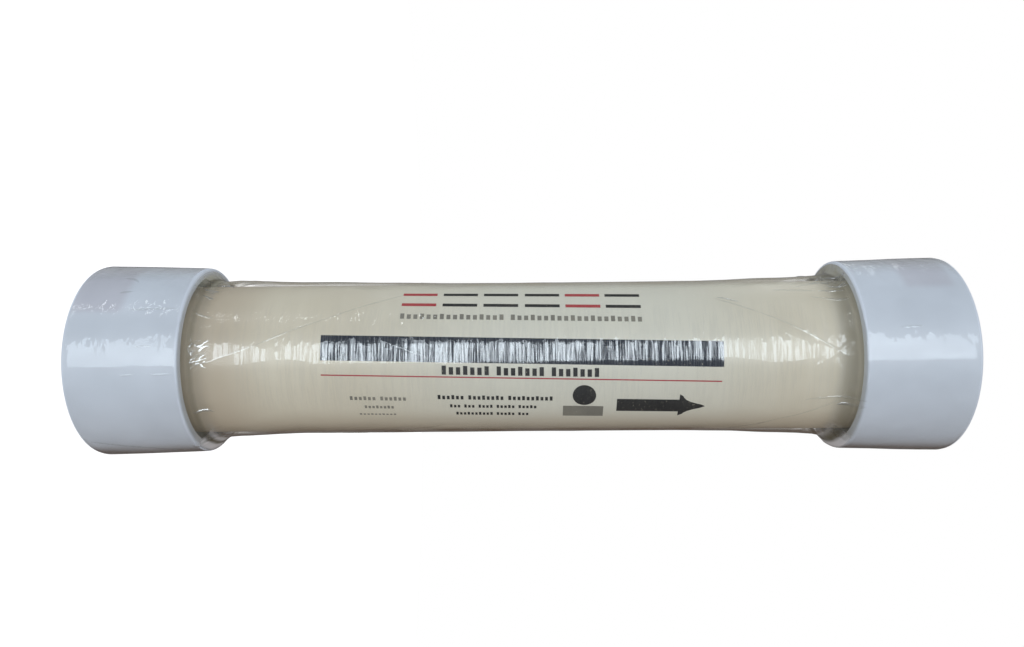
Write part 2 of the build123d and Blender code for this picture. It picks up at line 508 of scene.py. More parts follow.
@dataclass(frozen=True)
class ClearFilm:
    """Clear stretch film: see-through, with gloss where air lies under it and streaks across its pull.

    Pairs of heights are in metres and pairs of turns in degrees: where a change begins and is complete.
    """

    name: str
    tint: Colour = (0.975, 0.975, 0.968)
    doubled_tint: Colour = (0.925, 0.9, 0.895)
    haze: float = 0.008
    doubled_haze: float = 0.05
    # Film haze at glancing angles on caps and shell; its colours are painted shade.
    edge_haze: float = 0.66
    shell_edge_haze: float = 0.8
    # Share of the dark painted-shade veil at the film's foot, by the cap mouths.
    foot_shade_share: float = 0.38
    # Share of the painted shade on the lower side towards the outline, and its gain on the caps.
    underside_shade_share: float = 0.6
    cap_underside_shade_gain: float = 1.25
    # Share of the bunched film's veil at the cap mouths, whose colour carries painted shade.
    bunched_shade_share: float = 0.96
    # Colour of that veil: the film's own haze, darkened as painted shade in the mouth gaps.
    bunched_shade: Colour = (0.42, 0.395, 0.30)
    # Dark veil at the film's foot: painted shade.
    foot_shade: Colour = (0.17, 0.15, 0.10)
    # Edge colours of caps and shell: greyer and browner, painted shade towards the outline.
    cap_edge_shade: Colour = (0.56, 0.555, 0.545)
    shell_edge_shade: Colour = (0.43, 0.385, 0.30)
    # A paler tone where the bunched film turns towards its outline on the lower side.
    low_outline_pale: Colour = (0.93, 0.90, 0.89)
    # Painted shade on the lower side, towards the outline.
    underside_shade: Colour = (0.20, 0.145, 0.10)
    # Dark colour at the very outline: painted shade.
    outline: Colour = (0.24, 0.22, 0.19)
    milk: Colour = (0.78, 0.79, 0.82)
    gloss: Colour = (0.95, 0.975, 1.0)
    face_on: float = 0.04
    roughness: float = 0.07
    cap_gloss: float = 0.8
    shell_gloss: float = 0.16
    streak_gloss: float = 1.45
    ripple_mm: float = 0.06
    slack_mm: float = 0.2
    scallop_mm: float = 1.7
    scallop_turns: Point = (3.0, 9.0)
    streaks: bool = True
    gloss_feed: Point = (0.068, 0.078)
    gloss_brine: Point = (0.487, 0.477)
    veil_feed: Point = (0.068, 0.076)
    veil_brine: Point = (0.488, 0.48)
    cling_feed: Point = (0.084, 0.09)
    cling_end: Point = (0.098, 0.104)
    long_fold_slope: float = 394.0
    long_fold_start: float = 33.3
    low_turns: Point = (-40.0, -66.0)
    low_outline_turns: Point = (-46.0, -62.0)
    back_turns: Point = (-175.0, -120.0)

    def gloss_share(self, sheet: NodeSheet, place: Socket) -> Socket:
        """Works out how strongly the film reflects at each point.

        Args:
            sheet: The sheet that takes the nodes.
            place: The point on the film.

        Returns:
            A multiplier for the plain reflection of one film surface.
        """
        height = sheet.parts(place)[2]
        on_shell = sheet.times(sheet.fade(height, *self.gloss_feed), sheet.fade(height, *self.gloss_brine))
        turned_to = sheet.fade(sheet.facing(), 0.4, 0.12)
        fold_line = sheet.times(height, -self.long_fold_slope)
        beyond = sheet.plus(sheet.turn_of(place), fold_line, self.long_fold_start)
        loose = sheet.times(sheet.fade(beyond, -1.0, 1.0), sheet.fade(height, *self.cling_feed, 0.3, 1.0))
        free = sheet.most(loose, sheet.fade(height, *self.cling_end))
        streaks = sheet.times(sheet.pull_streaks(place), turned_to, free, self.streak_gloss)
        shell = sheet.plus(self.shell_gloss, streaks)
        smears = sheet.grain(place, (90.0, 90.0, 45.0), 3.0)
        caps = sheet.fade(smears, 0.36, 0.58, self.cap_gloss * 0.75, self.cap_gloss * 1.1)
        return sheet.between(on_shell, caps, shell)

    def relief(self, sheet: NodeSheet, place: Socket) -> Socket:
        """Works out the film's fine wrinkles.

        Args:
            sheet: The sheet that takes the nodes.
            place: The point on the film.

        Returns:
            Their height in metres.
        """
        ripple = sheet.grain(place, (120.0, 120.0, 380.0), 2.0)
        slack = sheet.grain(place, (45.0, 45.0, 45.0), 2.0)
        waves = sheet.grain(place, (60.0, 60.0, 130.0), 2.0)
        above = sheet.fade(sheet.turn_of(place), *self.scallop_turns)
        scallops = sheet.times(sheet.plus(waves, -0.5), above, self.scallop_mm * MM)
        return sheet.plus(
            sheet.times(ripple, self.ripple_mm * MM), sheet.times(slack, self.slack_mm * MM), scallops,
        )

    def cloudiness(self, sheet: NodeSheet, place: Socket) -> tuple[Socket, Socket]:
        """Works out where the film hides what is under it, with painted shade: dark veils at the cap mouths
        and the film's foot, and darker tones on the lower side and towards the outline.

        Args:
            sheet: The sheet that takes the nodes.
            place: The point on the film.

        Returns:
            The hidden share and its colour.
        """
        height = sheet.parts(place)[2]
        turn = sheet.turn_of(place)
        facing = sheet.facing()
        bunch_mask, foot_shading = sheet.painted("bunched_shade"), sheet.painted("foot_shade")
        on_shell = sheet.times(sheet.fade(height, *self.veil_feed), sheet.fade(height, *self.veil_brine))
        under, over = sheet.fade(turn, *self.low_turns), sheet.fade(turn, *self.back_turns)

        plain = sheet.between(sheet.painted("doubled"), self.haze, self.doubled_haze)
        cap_edge = sheet.fade(facing, 0.5, 0.82, 0.0, self.edge_haze)
        shell_edge = sheet.fade(facing, 0.56, 0.82, 0.0, self.shell_edge_haze)
        hazy = sheet.plus(plain, sheet.between(on_shell, cap_edge, shell_edge))
        # Painted shade on the lower side, growing towards the outline.
        deepening = sheet.between(on_shell, sheet.fade(facing, 0.5, 0.85), sheet.fade(facing, 0.46, 0.82))
        gain = sheet.between(on_shell, self.cap_underside_shade_gain, 1.0)
        underside_shading = sheet.times(deepening, under, over, self.underside_shade_share, gain)
        # The bunched film at the cap mouths takes a darker veil: the film's haze, darkened as painted
        # shade.
        least = self.bunched_shade_share * 0.12
        bunched = sheet.times(bunch_mask, sheet.fade(facing, 0.3, 0.75, least, self.bunched_shade_share))
        share = sheet.most(hazy, underside_shading, bunched, sheet.times(foot_shading, self.foot_shade_share))

        # Edge colours: painted shade towards the outline, greyer on the caps and browner on the shell.
        edge_colour = sheet.blend(on_shell, self.cap_edge_shade, self.shell_edge_shade)
        pale = sheet.blend(sheet.fade(facing, 0.46, 0.58), self.milk, edge_colour)
        # Paler where the bunched film turns towards its outline on the lower side.
        low_side = sheet.times(sheet.fade(turn, *self.low_outline_turns), over, sheet.fade(facing, 0.35, 0.6))
        bunch = sheet.blend(low_side, self.bunched_shade, self.low_outline_pale)
        # The film's foot takes the dark veil of painted shade.
        crowded = sheet.blend(foot_shading, sheet.blend(bunch_mask, pale, bunch), self.foot_shade)
        # Where the lower side takes its painted shade.
        underside_share = sheet.times(under, deepening, sheet.fade(bunch_mask, 0.6, 0.1))
        shaded = sheet.blend(underside_share, crowded, self.underside_shade)
        # Painted shade at the very outline.
        veil = sheet.blend(sheet.fade(facing, 0.86, 0.98), shaded, self.outline)
        pleats = sheet.grain(place, (110.0, 110.0, 40.0), 3.0)
        return share, sheet.blend(sheet.fade(pleats, 0.35, 0.65, 0.0, 0.12), veil, self.milk)

    def material(self) -> bpy.types.Material:
        """Makes the finish.

        Returns:
            The finish as a material.
        """
        sheet = NodeSheet.named(self.name)
        place = sheet.place()
        normal = sheet.bump(self.relief(sheet, place))
        glancing = sheet.maths("POWER", sheet.facing(normal), 5.0)
        plain = sheet.plus(sheet.times(glancing, 1.0 - self.face_on), self.face_on)
        gain = self.gloss_share(sheet, place) if self.streaks else self.streak_gloss
        share = sheet.maths("MULTIPLY", plain, gain, clamp=True)
        tint = sheet.blend(sheet.painted("doubled"), self.tint, self.doubled_tint)
        clear = sheet.add("ShaderNodeBsdfTransparent", {"Color": tint})
        hidden, colour = self.cloudiness(sheet, place)
        veil = sheet.add("ShaderNodeBsdfDiffuse", {"Color": colour})
        gloss = sheet.add("ShaderNodeBsdfAnisotropic", {
            "Color": self.gloss, "Roughness": self.roughness, "Normal": normal,
        })
        body = sheet.mixed(hidden, clear.outputs[0], veil.outputs[0])
        return sheet.ended(sheet.mixed(share, body, gloss.outputs[0]))


@dataclass(frozen=True)
class SoftRubber:
    """Smooth black rubber with a dusty bloom."""

    name: str
    colour: Colour = (0.022, 0.022, 0.024)
    bloom: Colour = (0.06, 0.06, 0.062)

    def material(self) -> bpy.types.Material:
        """Makes the finish.

        Returns:
            The finish as a material.
        """
        sheet = NodeSheet.named(self.name)
        place = sheet.place()
        cloud = sheet.noise(place, 55.0, 5.0, 0.65)
        grain = sheet.noise(place, 1600.0, 2.0)
        return sheet.solid({
            "Base Color": sheet.blend(sheet.fade(cloud, 0.42, 0.7), self.colour, self.bloom),
            "Roughness": sheet.fade(cloud, 0.3, 0.7, 0.45, 0.7),
            "Normal": sheet.bump(sheet.times(grain, 0.01 * MM)),
        })


@dataclass(frozen=True)
class ExtrudedTube:
    """Off-white extruded plastic with fine draw lines along Z."""

    name: str
    colour: Colour = (0.8, 0.79, 0.75)

    def material(self) -> bpy.types.Material:
        """Makes the finish.

        Returns:
            The finish as a material.
        """
        sheet = NodeSheet.named(self.name)
        place = sheet.place()
        lines = sheet.grain(place, (1500.0, 1500.0, 8.0), 3.0)
        deep = tuple(part * 0.9 for part in self.colour)
        return sheet.solid({
            "Base Color": sheet.blend(sheet.fade(lines, 0.35, 0.65), deep, self.colour),
            "Roughness": sheet.fade(lines, 0.3, 0.7, 0.3, 0.42),
            "Normal": sheet.bump(sheet.times(lines, 0.012 * MM)),
        })


@dataclass(frozen=True)
class WovenSheet:
    """Membrane envelope: a fine woven face with a damp sheen."""

    name: str
    pale: Colour = (0.85, 0.82, 0.74)
    deep: Colour = (0.74, 0.7, 0.6)
    thread_mm: float = 0.35

    def material(self) -> bpy.types.Material:
        """Makes the finish.

        Returns:
            The finish as a material.
        """
        sheet = NodeSheet.named(self.name)
        place = sheet.place()
        x, y, z = sheet.parts(place)
        pace = math.pi / (self.thread_mm * MM)
        across = sheet.maths("SINE", sheet.times(sheet.plus(x, y), pace))
        along = sheet.maths("SINE", sheet.times(z, pace))
        weave = sheet.fade(sheet.times(across, along), -1.0, 1.0)
        cloud = sheet.noise(place, 25.0, 4.0)
        tone = sheet.plus(sheet.times(weave, 0.4), sheet.times(cloud, 0.6))
        return sheet.solid({
            "Base Color": sheet.blend(sheet.fade(tone, 0.3, 0.7), self.deep, self.pale),
            "Roughness": sheet.fade(cloud, 0.3, 0.7, 0.38, 0.6),
            "Normal": sheet.bump(sheet.times(weave, 0.03 * MM)),
        })


@dataclass(frozen=True)
class FeedNet:
    """Feed spacer: a diamond net of strands over a darker ground."""

    name: str
    strand: Colour = (0.74, 0.78, 0.8)
    gap: Colour = (0.36, 0.38, 0.38)
    mesh_mm: float = 2.8

    def material(self) -> bpy.types.Material:
        """Makes the finish.

        Returns:
            The finish as a material.
        """
        sheet = NodeSheet.named(self.name)
        place = sheet.place()
        x, y, z = sheet.parts(place)
        pace = math.pi / (self.mesh_mm * MM)
        round_way = sheet.plus(x, y)
        one = sheet.maths("ABSOLUTE", sheet.maths("SINE", sheet.times(sheet.plus(round_way, z), pace)))
        other = sheet.maths("SINE", sheet.times(sheet.maths("SUBTRACT", round_way, z), pace))
        strands = sheet.fade(sheet.maths("MINIMUM", one, sheet.maths("ABSOLUTE", other)), 0.45, 0.2)
        cloud = sheet.noise(place, 30.0, 3.0)
        return sheet.solid({
            "Base Color": sheet.blend(strands, self.gap, self.strand),
            "Roughness": sheet.fade(cloud, 0.3, 0.7, 0.35, 0.5),
            "Normal": sheet.bump(sheet.times(strands, 0.25 * MM)),
        })


@dataclass(frozen=True)
class PaleFloor:
    """Matt studio floor that stays close to the white behind it."""

    name: str
    glow: float = 0.92
    colour: Colour = (0.5, 0.5, 0.5)

    def material(self) -> bpy.types.Material:
        """Makes the finish.

        Returns:
            The finish as a material.
        """
        sheet = NodeSheet.named(self.name)
        cloud = sheet.noise(sheet.place(), 4.0, 2.0)
        darker = tuple(part * 0.97 for part in self.colour)
        return sheet.solid({
            "Base Color": sheet.blend(cloud, darker, self.colour),
            "Roughness": 0.9,
            "Specular IOR Level": 0.1,
            "Emission Color": (1.0, 1.0, 1.0),
            "Emission Strength": self.glow,
        })


# Mesh work shared by all pieces.


def on_cylinder(radius: float, turn: float, height: float) -> tuple[float, float, float]:
    """Places a point round the element.

    Args:
        radius: Distance from the axis.
        turn: Angle in radians from the side that faces the camera, growing towards -X.
        height: Height along Z.

    Returns:
        The point in the row frame.
    """
    return (-radius * math.sin(turn), -radius * math.cos(turn), height)


def rounded(corners: Sequence[tuple[float, float, float]], steps: int = 6) -> list[Point]:
    """Rounds the corners of a profile.

    Args:
        corners: (radius, height, rounding) of each corner in turn. The first and last aren't rounded.
        steps: Pieces of each rounding.

    Returns:
        The profile's points.
    """
    out: list[Point] = [corners[0][:2]]
    for before, here, after in zip(corners, corners[1:], corners[2:]):
        corner = Vector(here[:2])
        arrive, leave = corner - Vector(before[:2]), Vector(after[:2]) - corner
        if here[2] <= 0:
            out.append(here[:2])
            continue
        arrive.normalize()
        leave.normalize()
        bend = arrive.angle(leave)
        cut = here[2] * math.tan(bend / 2)
        first, last = corner - arrive * cut, corner + leave * cut
        for step in range(steps + 1):
            share = step / steps
            one, two = first.lerp(corner, share), corner.lerp(last, share)
            out.append(tuple(one.lerp(two, share)))
    out.append(corners[-1][:2])
    return out


def made_mesh(name: str, points: Sequence, faces: Sequence, sharp_deg: float = 40.0) -> bpy.types.Object:
    """Makes a smooth-shaded mesh object with outward normals.

    Args:
        name: Name of the piece.
        points: Its points.
        faces: Its faces, as point numbers.
        sharp_deg: Edges that bend more than this stay sharp.

    Returns:
        The new object.
    """
    mesh = bpy.data.meshes.new(name)
    mesh.from_pydata([tuple(point) for point in points], [], [tuple(face) for face in faces])
    mesh.validate()
    mesh.polygons.foreach_set("use_smooth", [True] * len(mesh.polygons))
    mesh.set_sharp_from_angle(angle=math.radians(sharp_deg))
    mesh.update()
    piece = bpy.data.objects.new(name, mesh)
    bpy.context.scene.collection.objects.link(piece)
    return piece


def turned(name: str, profile: Sequence[Point], sides: int, loop: bool = False) -> bpy.types.Object:
    """Sweeps a profile round Z.

    Args:
        name: Name of the piece.
        profile: (radius, height) points, up the outside and down the inside.
        sides: Number of sides round the axis.
        loop: Whether the last point joins the first.

    Returns:
        The new object.
    """
    points: list[tuple[float, float, float]] = []
    rings: list[list[int]] = []
    for radius, height in profile:
        start = len(points)
        if radius < 1e-7:
            points.append((0.0, 0.0, height))
            rings.append([start])
            continue
        points += [on_cylinder(radius, -2 * math.pi * side / sides, height) for side in range(sides)]
        rings.append(list(range(start, start + sides)))
    faces = []
    pairs = list(zip(rings, rings[1:])) + ([(rings[-1], rings[0])] if loop else [])
    for low, high in pairs:
        for side in range(sides):
            after = (side + 1) % sides
            if len(low) == 1:
                faces.append((low[0], high[after], high[side]))
            elif len(high) == 1:
                faces.append((low[side], low[after], high[0]))
            else:
                faces.append((low[side], low[after], high[after], high[side]))
    return made_mesh(name, points, faces)


def joined(name: str, pieces: Sequence[bpy.types.Object]) -> bpy.types.Object:
    """Joins pieces into one object.

    Args:
        name: Name of the joined piece.
        pieces: The pieces, which are used up.

    Returns:
        The joined object.
    """
    points, faces = [], []
    for piece in pieces:
        start = len(points)
        points += [vertex.co.copy() for vertex in piece.data.vertices]
        faces += [[start + number for number in face.vertices] for face in piece.data.polygons]
        bpy.data.meshes.remove(piece.data)
    return made_mesh(name, points, faces)


def dress(piece: bpy.types.Object, material: bpy.types.Material, slot: Slot | None, *nodes: str) -> None:
    """Gives a piece its finish and its place in the frame.

    Args:
        piece: The piece.
        material: Its finish.
        slot: The record's material slot, or None. Not used.
        *nodes: CAD nodes that it stands for.
    """
    piece.data.materials.clear()
    piece.data.materials.append(material)
    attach(piece, "root")
    if nodes:
        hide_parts(*nodes)
    LOG.info("%s: %d faces, finish %s", piece.name, len(piece.data.polygons), material.name)


def eased(value: np.ndarray, start: float, end: float) -> np.ndarray:
    """Turns values smoothly from 0 at start to 1 at end.

    Args:
        value: The values.
        start: Where the change begins.
        end: Where it is complete, below start for a fall.

    Returns:
        The changed values.
    """
    share = np.clip((value - start) / (end - start), 0, 1)
    return share * share * (3 - 2 * share)


# Sub-assemblies.


@dataclass
class EndCap:
    """Closed cup over one end, slightly narrower at its mouth, with ribs that seat the end disc."""

    end: End
    length: float = 70.3 * MM
    base_radius: float = 63.4 * MM
    middle_radius: float = 62.9 * MM
    mouth_radius: float = 61.8 * MM
    bore_radius: float = 55.9 * MM
    floor: float = 5.0 * MM
    mouth_rounding: float = 1.8 * MM
    rib_count: int = 6
    rib_width: float = 3.0 * MM
    rib_inner: float = 41.0 * MM
    rib_top: float = 56.0 * MM
    rib_ledge: float = 37.0 * MM
    rib_grip: float = 52.5 * MM
    face_inset: float = 6.0 * MM
    face_rounding: float = 1.3 * MM
    middle_height: float = 28.0 * MM
    middle_bend: float = 12.0 * MM
    overlap: float = 0.8 * MM
    sides: int = 160

    def profile(self) -> list[Point]:
        """Works out the cup's section.

        Returns:
            Its points, from the middle of the outer face to the middle of the floor.
        """
        return rounded([
            (0.0, 0.0, 0.0),
            (self.base_radius * 0.5, 0.0, 0.0),
            (self.base_radius - self.face_inset, 0.0, 0.0),
            (self.base_radius, 0.0, self.face_rounding),
            (self.middle_radius, self.middle_height, self.middle_bend),
            (self.mouth_radius, self.length, self.mouth_rounding),
            (self.bore_radius, self.length, 1.0 * MM),
            (self.bore_radius, self.floor, 1.5 * MM),
            (self.bore_radius * 0.5, self.floor, 0.0),
            (0.0, self.floor, 0.0),
        ], 7)

    def rib(self, turn: float) -> bpy.types.Object:
        """Makes one rib: a stepped plate that stands on the floor.

        Args:
            turn: Its angle round the axis.

        Returns:
            The rib as an object.
        """
        outer = self.bore_radius + self.overlap
        low = self.floor - self.overlap
        side = [
            (self.rib_inner, low), (outer, low), (outer, self.rib_top), (self.rib_grip, self.rib_top),
            (self.rib_grip, self.rib_ledge), (self.rib_inner, self.rib_ledge),
        ]
        half = self.rib_width / 2
        cos, sin = math.cos(turn), math.sin(turn)
        points = [
            (radius * cos - offset * sin, radius * sin + offset * cos, height)
            for offset in (-half, half) for radius, height in side
        ]
        count = len(side)
        faces = [list(range(count))[::-1], list(range(count, 2 * count))]
        faces += [(n, (n + 1) % count, count + (n + 1) % count, count + n) for n in range(count)]
        return made_mesh("rib", points, faces)

    def build(self, finish: bpy.types.Material) -> bpy.types.Object:
        """Builds and dresses the cap.

        Args:
            finish: Its material.

        Returns:
            The cap.
        """
        node = f"{self.end.value}_end_cap"
        ribs = [self.rib(2 * math.pi * (n + 0.5) / self.rib_count) for n in range(self.rib_count)]
        cap = joined(f"{self.end.value}_cap", [turned("cup", self.profile(), self.sides), *ribs])
        if self.end is End.BRINE:
            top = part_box(node)[1].z
            cap.data.transform(Matrix.Translation((0, 0, top)) @ Matrix.Rotation(math.pi, 4, "X"))
        dress(cap, finish, Slot.CAP, node)
        return cap


@dataclass
class WoundShell:
    """Fibreglass tube over the roll."""

    node: str = "frp_shell"
    wall: float = 2.1 * MM
    edge: float = 0.5 * MM
    rings: int = 24
    sides: int = 192

    def build(self, finish: bpy.types.Material) -> bpy.types.Object:
        """Builds and dresses the shell.

        Args:
            finish: Its material.

        Returns:
            The shell.
        """
        low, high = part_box(self.node)
        outer, inner = high.x, high.x - self.wall
        edge = self.edge
        length = high.z - low.z - 2 * edge
        outside = [(outer, low.z + edge + length * n / self.rings) for n in range(self.rings + 1)]
        profile = [
            (inner, low.z), (outer - edge, low.z), *outside, (outer - edge, high.z), (inner, high.z),
        ]
        shell = turned("wound_shell", profile, self.sides, loop=True)
        dress(shell, finish, Slot.SHELL, self.node)
        return shell


@dataclass(frozen=True)
class Ribbon:
    """One printed shape: its lower and upper edge at stations along the print, in millimetres."""

    stations: tuple[float, ...]
    low: tuple[float, ...]
    high: tuple[float, ...]

    @staticmethod
    def bar(start: float, end: float, low: float, high: float) -> "Ribbon":
        """Returns a plain bar."""
        return Ribbon((start, end), (low, low), (high, high))

    @staticmethod
    def disc(along: float, across: float, radius: float, steps: int = 20) -> "Ribbon":
        """Makes a round spot.

        Args:
            along: Where its middle lies along the print.
            across: Where its middle lies up the print.
            radius: Its radius.
            steps: Number of steps from its start to its end.

        Returns:
            The spot.
        """
        turns = [math.pi * n / steps for n in range(steps + 1)]
        stations = tuple(along - radius * math.cos(turn) for turn in turns)
        reach = [max(0.02, radius * math.sin(turn)) for turn in turns]
        return Ribbon(stations, tuple(across - r for r in reach), tuple(across + r for r in reach))

    @staticmethod
    def arrow(start: float, neck: float, tip: float, across: float, shaft: float, head: float) -> "Ribbon":
        """Makes an arrow that points along +Z.

        Args:
            start: Where its shaft begins.
            neck: Where its head begins.
            tip: Where it ends.
            across: Where its middle line lies up the print.
            shaft: Half width of its shaft.
            head: Half width of its head.

        Returns:
            The arrow.
        """
        stations = (start, neck, neck + 0.02, tip)
        reach = (shaft, shaft, head, 0.03)
        return Ribbon(stations, tuple(across - r for r in reach), tuple(across + r for r in reach))


@dataclass
class Print:
    """Printed fields on the shell: a dark band, a red rule, plain bars and a flow arrow."""

    shell_radius: float
    centre: float = 279.5
    rise: float = 5.7
    skew: float = 0.0244
    lift: float = 0.05 * MM
    thickness: float = 0.05 * MM
    step_mm: float = 1.6
    stroke_share: float = 0.6
    low_letter_share: float = 0.84
    word_gap: float = 0.7
    heading_mm: float = 22.0
    heading_rows: tuple[Point, Point] = ((40.8, 43.6), (30.3, 32.8))
    band_steps: int = 40

    def spot(self, along: float, across: float, radius: float) -> tuple[float, float, float]:
        """Places a point of the print.

        Args:
            along: Distance along the print, in millimetres.
            across: Distance up the print, in millimetres.
            radius: Distance from the axis, in metres.

        Returns:
            The point in the row frame.
        """
        arc = self.rise + across - self.skew * along
        return on_cylinder(radius, arc * MM / self.shell_radius, (self.centre + along) * MM)

    def laid(self, shape: Ribbon) -> bpy.types.Object:
        """Lays one shape on the shell as a thin closed skin.

        Args:
            shape: The shape.

        Returns:
            The skin as an object.
        """
        tallest = max(high - low for low, high in zip(shape.low, shape.high))
        rows = max(2, math.ceil(tallest / self.step_mm) + 1)
        inner = self.shell_radius + self.lift
        points, faces = [], []
        columns = len(shape.stations)
        for radius in (inner, inner + self.thickness):
            for along, low, high in zip(shape.stations, shape.low, shape.high):
                rise = (high - low) / (rows - 1)
                points += [self.spot(along, low + rise * n, radius) for n in range(rows)]
        layer = columns * rows
        for column in range(columns - 1):
            for row in range(rows - 1):
                a = column * rows + row
                b, c, d = a + rows, a + rows + 1, a + 1
                faces.append((a, d, c, b))
                faces.append((layer + a, layer + b, layer + c, layer + d))
        rim = [n * rows for n in range(columns)]
        rim += [(columns - 1) * rows + n for n in range(1, rows)]
        rim += [n * rows + rows - 1 for n in range(columns - 2, -1, -1)]
        rim += list(range(rows - 2, 0, -1))
        for here, after in zip(rim, rim[1:] + rim[:1]):
            faces.append((here, after, layer + after, layer + here))
        return made_mesh("ink", points, faces, 60.0)

    def words(
        self, start: float, lengths: Sequence[int], letter: float, low: float, high: float,
    ) -> list[Ribbon]:
        """Makes a line of plain blocks in place of a line of type.

        Args:
            start: Where the line begins.
            lengths: Number of blocks in each group.
            letter: Distance from one block to the next.
            low: Lower edge.
            high: Upper edge.

        Returns:
            The blocks.
        """
        out = []
        at = start
        for count in lengths:
            for number in range(count):
                tall = high if number % 3 == 0 else low + (high - low) * self.low_letter_share
                out.append(Ribbon.bar(at, at + letter * self.stroke_share, low, tall))
                at += letter
            at += letter * self.word_gap
        return out

    def heading(self, *starts: float) -> list[Ribbon]:
        """Returns two plain bars, one over the other, at each start in the heading's place."""
        return [Ribbon.bar(at, at + self.heading_mm, *row) for at in starts for row in self.heading_rows]

    def band(self, start: float, length: float, low: float, high: float) -> Ribbon:
        """Makes the wide band, with stations enough to follow the slant of the print.

        Args:
            start: Where it begins.
            length: How long it is.
            low: Lower edge.
            high: Upper edge.

        Returns:
            The band.
        """
        stations = tuple(start + length * n / self.band_steps for n in range(self.band_steps + 1))
        return Ribbon(stations, (low,) * len(stations), (high,) * len(stations))

    def build(self, inks: dict[str, bpy.types.Material]) -> None:
        """Builds and dresses the print.

        Args:
            inks: The inks by name: navy, black, red, grey.
        """
        fields = {
            "print_band": ("navy", [self.band(-124.7, 249.4, -8.0, 7.9)]),
            "print_rule": ("red", [Ribbon.bar(-124.5, 123.8, -17.6, -16.8)]),
            "print_heading": ("black", self.heading(-49.7, -23.7, 2.6, 53.6)),
            "print_heading_red": ("red", self.heading(-75.8, 28.2)),
            "print_subline": ("grey", self.words(-75.9, (16, 20), 4.17, 20.0, 24.0)),
            "print_kind_line": ("black", self.words(-49.2, (7, 7, 7), 4.42, -15.6, -10.0)),
            "print_left_block": ("grey", [
                *self.words(-107.6, (6, 6), 2.85, -34.0, -31.2),
                *self.words(-99.0, (8,), 2.4, -40.5, -38.2),
                *self.words(-103.0, (10,), 2.4, -46.5, -45.3),
            ]),
            "print_middle_block": ("black", [
                *self.words(-52.4, (6, 8, 10), 2.87, -32.5, -29.4),
                *self.words(-45.0, (3, 3, 4, 5, 5), 2.42, -39.0, -36.5),
                *self.words(-41.5, (10, 5, 3), 2.4, -45.6, -43.0),
            ]),
            "print_round_spot": ("black", [Ribbon.disc(39.2, -28.4, 7.3)]),
            "print_grey_field": ("grey", [Ribbon.bar(26.0, 51.3, -45.8, -36.6)]),
            "print_arrow": ("black", [Ribbon.arrow(59.6, 98.5, 114.8, -35.6, 5.0, 9.0)]),
        }
        for name, (ink, shapes) in fields.items():
            piece = joined(name, [self.laid(shape) for shape in shapes])
            dress(piece, inks[ink], None)


@dataclass(frozen=True)
class Crease:
    """A fold in the film from one (height, turn) to another, in millimetres and degrees."""

    start: Point
    end: Point
    half_width: float = 0.8
    rise: float = 0.35
    bow: float = 0.0


